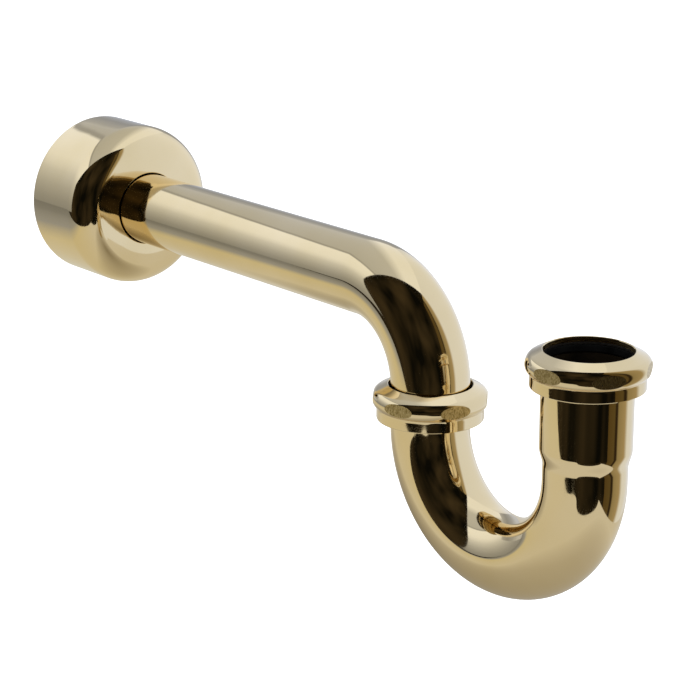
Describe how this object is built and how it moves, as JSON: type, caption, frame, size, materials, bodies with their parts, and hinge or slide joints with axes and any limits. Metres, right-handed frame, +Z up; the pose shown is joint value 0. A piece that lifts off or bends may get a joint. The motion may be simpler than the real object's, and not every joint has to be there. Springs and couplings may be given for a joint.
{
  "type": "p trap",
  "caption": "Polished tubular P-trap: U-shaped water seal with slip-joint inlet, swivelling on a right-angle wall tube that ends in a deep round wall flange.",
  "frame": {"origin": "on the wall tube's axis at the end of its spigot, in the plane of the flange's rim, which is the face of the wall", "axes": "+Y out of the spigot into the wall, +Z up towards the basin, and the trap hangs towards -Y"},
  "size_m": [0.073, 0.3449, 0.1473],
  "materials": {
    "polished_brass": "mirror polished, clear lacquered",
    "plain_brass": "machined, unpolished",
    "black_rubber": "moulded, matte",
    "black_fibre": "stamped vulcanised fibre"
  },
  "bodies": {
    "wall_tube": {"wall_tube": "polished_brass", "wall_washer": "black_rubber"},
    "wall_friction_ring": {"wall_friction_ring": "black_fibre"},
    "wall_nut": {"wall_nut": "polished_brass"},
    "flange_grip_ring": {"flange_grip_ring": "black_rubber"},
    "box_flange": {"box_flange": "polished_brass"},
    "outlet_washer": {"outlet_washer": "black_rubber"},
    "trap": {"j_bend": "polished_brass", "outlet_thread_collar": "plain_brass", "inlet_thread_collar": "plain_brass", "inlet_washer": "black_rubber"},
    "outlet_friction_ring": {"outlet_friction_ring": "black_fibre"},
    "outlet_nut": {"outlet_nut": "polished_brass"},
    "inlet_friction_ring": {"inlet_friction_ring": "black_fibre"},
    "inlet_nut": {"inlet_nut": "polished_brass"}
  },
  "joints": [
    {"name": "flange_slide", "type": "slide", "parent": "wall_tube", "child": "flange_grip_ring", "axis": [0, -1, 0], "range_m": [0, 0.09]},
    {"name": "flange_spin", "type": "hinge", "parent": "flange_grip_ring", "child": "box_flange", "pos_m": [0, -0.039, 0], "axis": [0, 1, 0], "continuous": true},
    {"name": "wall_nut_slide", "type": "slide", "parent": "wall_tube", "child": "wall_friction_ring", "axis": [0, -1, 0], "range_m": [0, 0.005]},
    {"name": "wall_nut_spin", "type": "hinge", "parent": "wall_friction_ring", "child": "wall_nut", "pos_m": [0, -0.023, 0], "axis": [0, 1, 0], "continuous": true},
    {"name": "trap_drop", "type": "slide", "parent": "wall_tube", "child": "outlet_washer", "axis": [0, 0, -1], "range_m": [0, 0.004]},
    {"name": "trap_swivel", "type": "hinge", "parent": "outlet_washer", "child": "trap", "pos_m": [0, -0.2355, -0.045], "axis": [0, 0, 1], "range_deg": [-150, 150]},
    {"name": "outlet_nut_turn", "type": "hinge", "parent": "outlet_friction_ring", "child": "outlet_nut", "pos_m": [0, -0.2355, -0.045], "axis": [0, 0, 1], "range_deg": [0, 540]},
    {"name": "outlet_nut_rise", "type": "slide", "parent": "outlet_washer", "child": "outlet_friction_ring", "axis": [0, 0, 1], "range_m": [0, 0.00331]},
    {"name": "inlet_nut_turn", "type": "hinge", "parent": "inlet_friction_ring", "child": "inlet_nut", "pos_m": [0, -0.3215, -0.01], "axis": [0, 0, 1], "range_deg": [0, 1080]},
    {"name": "inlet_nut_rise", "type": "slide", "parent": "trap", "child": "inlet_friction_ring", "axis": [0, 0, 1], "range_m": [0, 0.00663]}
  ],
  "couplings": [
    {"joint": "outlet_nut_rise", "follows": "outlet_nut_turn", "m_per_rad": 0.00035157},
    {"joint": "inlet_nut_rise", "follows": "inlet_nut_turn", "m_per_rad": 0.00035157}
  ]
}
